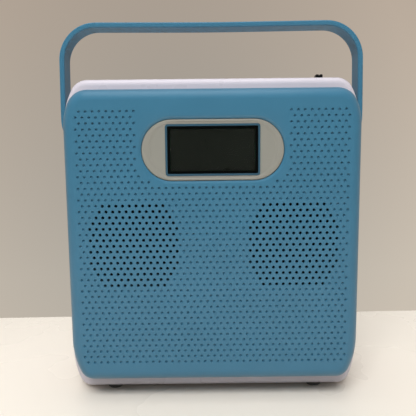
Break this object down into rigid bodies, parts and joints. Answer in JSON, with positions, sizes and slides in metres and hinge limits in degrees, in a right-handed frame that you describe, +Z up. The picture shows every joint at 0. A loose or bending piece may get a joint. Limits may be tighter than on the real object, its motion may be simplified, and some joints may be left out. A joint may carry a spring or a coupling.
{
  "type": "portable radio with disc player",
  "caption": "Upright radio and disc player: perforated front with two speakers and a small display, carry handle, rear disc door, aerial and battery bay.",
  "frame": {"origin": "on the table, under the middle of the whole object (centre of the bounding box's bottom)", "axes": "+X to the right seen from the front, the speakers face -Y, +Z up"},
  "size_m": [0.2484, 0.104, 0.3014],
  "materials": {
    "blue_plastic": "gloss",
    "white_plastic": "gloss",
    "black_plastic": "matte",
    "lens_window": "polished",
    "lcd_glass": "gloss",
    "circuit_board": "satin",
    "speaker_cone": "matte",
    "ferrite": "satin",
    "zinc_screw": "satin",
    "steel": "satin",
    "chrome_tube": "polished",
    "contact_metal": "satin",
    "rubber_black": "matte",
    "coil_tape": "satin",
    "optic": "polished"
  },
  "bodies": {
    "cabinet": {"front_cabinet": "blue_plastic", "display_bezel": "white_plastic", "window_frame": "blue_plastic", "display_window": "lens_window", "lcd_panel": "lcd_glass", "display_board": "circuit_board", "speaker_screws": "zinc_screw", "left_speaker_basket": "black_plastic", "right_speaker_basket": "black_plastic", "left_speaker_magnet": "ferrite", "right_speaker_magnet": "ferrite", "rear_cabinet": "white_plastic", "cd_door_pins": "steel", "cd_well": "black_plastic", "deck_chassis": "steel", "guide_rods": "steel", "deck_dampers": "rubber_black", "deck_screws": "zinc_screw", "spindle_motor": "steel", "sled_motor": "steel", "key_board": "circuit_board", "battery_tray": "black_plastic", "battery_contacts": "contact_metal", "transformer_core": "steel", "transformer_winding": "coil_tape", "main_board": "circuit_board", "power_inlet": "black_plastic", "inlet_pins": "contact_metal", "jack_sockets": "black_plastic", "feet": "rubber_black", "cabinet_screws": "zinc_screw"},
    "handle": {"handle": "blue_plastic", "handle_washers": "zinc_screw", "handle_screws": "zinc_screw"},
    "left_cone": {"left_speaker_cone": "speaker_cone"},
    "right_cone": {"right_speaker_cone": "speaker_cone"},
    "disc_door": {"cd_door": "white_plastic"},
    "latch_button": {"door_latch_button": "white_plastic"},
    "turntable": {"turntable_hub": "black_plastic"},
    "sled": {"pickup_sled": "black_plastic", "pickup_lens": "optic"},
    "feed_wheel": {"feed_gear": "black_plastic"},
    "motor_pinion": {"feed_pinion": "black_plastic"},
    "function_switch": {"function_switch_knob": "black_plastic"},
    "aerial_swivel": {"aerial_base": "chrome_tube", "aerial_rivet": "chrome_tube"},
    "aerial_arm": {"aerial_elbow": "chrome_tube", "aerial_outer_tube": "chrome_tube"},
    "aerial_middle": {"aerial_middle_tube": "chrome_tube"},
    "aerial_end": {"aerial_inner_rod": "chrome_tube", "aerial_tip": "chrome_tube"},
    "battery_cover": {"battery_door": "white_plastic"},
    "previous_key": {"previous_key": "white_plastic"},
    "play_pause_key": {"play_pause_key": "white_plastic"},
    "stop_key": {"stop_key": "white_plastic"},
    "next_key": {"next_key": "white_plastic"},
    "volume_down_key": {"volume_down_key": "white_plastic"},
    "volume_up_key": {"volume_up_key": "white_plastic"},
    "mode_key": {"mode_key": "white_plastic"},
    "program_key": {"program_key": "white_plastic"}
  },
  "joints": [
    {"name": "handle_swing", "type": "hinge", "parent": "cabinet", "child": "handle", "pos_m": [0, 0, 0.2195], "axis": [1, 0, 0], "range_deg": [-120, 120]},
    {"name": "left_cone_travel", "type": "slide", "parent": "cabinet", "child": "left_cone", "axis": [0, 1, 0], "range_m": [-0.001, 0.001], "stiffness_N_per_m": 2500},
    {"name": "right_cone_travel", "type": "slide", "parent": "cabinet", "child": "right_cone", "axis": [0, 1, 0], "range_m": [-0.001, 0.001], "stiffness_N_per_m": 2500},
    {"name": "disc_door_swing", "type": "hinge", "parent": "cabinet", "child": "disc_door", "pos_m": [-0.07, 0.0498, 0.142], "axis": [0, 0, 1], "range_deg": [0, 95]},
    {"name": "latch_button_press", "type": "slide", "parent": "cabinet", "child": "latch_button", "axis": [0, -1, 0], "range_m": [0, 0.0015], "stiffness_N_per_m": 400},
    {"name": "turntable_spin", "type": "hinge", "parent": "cabinet", "child": "turntable", "pos_m": [0, 0.03, 0.142], "axis": [0, 1, 0], "continuous": true},
    {"name": "sled_travel", "type": "slide", "parent": "cabinet", "child": "sled", "axis": [1, 0, 0], "range_m": [0, 0.034]},
    {"name": "feed_wheel_turn", "type": "hinge", "parent": "cabinet", "child": "feed_wheel", "pos_m": [0.029, 0.028, 0.108], "axis": [0, 1, 0], "range_deg": [-5, 330]},
    {"name": "motor_pinion_turn", "type": "hinge", "parent": "cabinet", "child": "motor_pinion", "pos_m": [0.0426, 0.028, 0.108], "axis": [0, 1, 0], "range_deg": [-785, 5]},
    {"name": "function_switch_slide", "type": "slide", "parent": "cabinet", "child": "function_switch", "axis": [1, 0, 0], "range_m": [-0.003, 0.003]},
    {"name": "aerial_turn", "type": "hinge", "parent": "cabinet", "child": "aerial_swivel", "pos_m": [-0.092, 0.0465, 0.2475], "axis": [0, 0, 1], "range_deg": [0, 90]},
    {"name": "aerial_tilt", "type": "hinge", "parent": "aerial_swivel", "child": "aerial_arm", "pos_m": [-0.092, 0.0465, 0.2475], "axis": [0, -1, 0], "range_deg": [0, 90]},
    {"name": "aerial_middle_slide", "type": "slide", "parent": "aerial_arm", "child": "aerial_middle", "axis": [1, 0, 0], "range_m": [0, 0.15]},
    {"name": "aerial_end_slide", "type": "slide", "parent": "aerial_middle", "child": "aerial_end", "axis": [1, 0, 0], "range_m": [0, 0.15]},
    {"name": "battery_cover_lift", "type": "slide", "parent": "cabinet", "child": "battery_cover", "axis": [0, 1, 0], "range_m": [0, 0.06]},
    {"name": "previous_key_press", "type": "slide", "parent": "cabinet", "child": "previous_key", "axis": [0, 0, -1], "range_m": [0, 0.0008], "stiffness_N_per_m": 500},
    {"name": "play_pause_key_press", "type": "slide", "parent": "cabinet", "child": "play_pause_key", "axis": [0, 0, -1], "range_m": [0, 0.0008], "stiffness_N_per_m": 500},
    {"name": "stop_key_press", "type": "slide", "parent": "cabinet", "child": "stop_key", "axis": [0, 0, -1], "range_m": [0, 0.0008], "stiffness_N_per_m": 500},
    {"name": "next_key_press", "type": "slide", "parent": "cabinet", "child": "next_key", "axis": [0, 0, -1], "range_m": [0, 0.0008], "stiffness_N_per_m": 500},
    {"name": "volume_down_key_press", "type": "slide", "parent": "cabinet", "child": "volume_down_key", "axis": [0, 0, -1], "range_m": [0, 0.0008], "stiffness_N_per_m": 500},
    {"name": "volume_up_key_press", "type": "slide", "parent": "cabinet", "child": "volume_up_key", "axis": [0, 0, -1], "range_m": [0, 0.0008], "stiffness_N_per_m": 500},
    {"name": "mode_key_press", "type": "slide", "parent": "cabinet", "child": "mode_key", "axis": [0, 0, -1], "range_m": [0, 0.0008], "stiffness_N_per_m": 500},
    {"name": "program_key_press", "type": "slide", "parent": "cabinet", "child": "program_key", "axis": [0, 0, -1], "range_m": [0, 0.0008], "stiffness_N_per_m": 500}
  ],
  "couplings": [
    {"joint": "feed_wheel_turn", "follows": "sled_travel", "rad_per_m": 166.67},
    {"joint": "motor_pinion_turn", "follows": "sled_travel", "rad_per_m": -400}
  ]
}
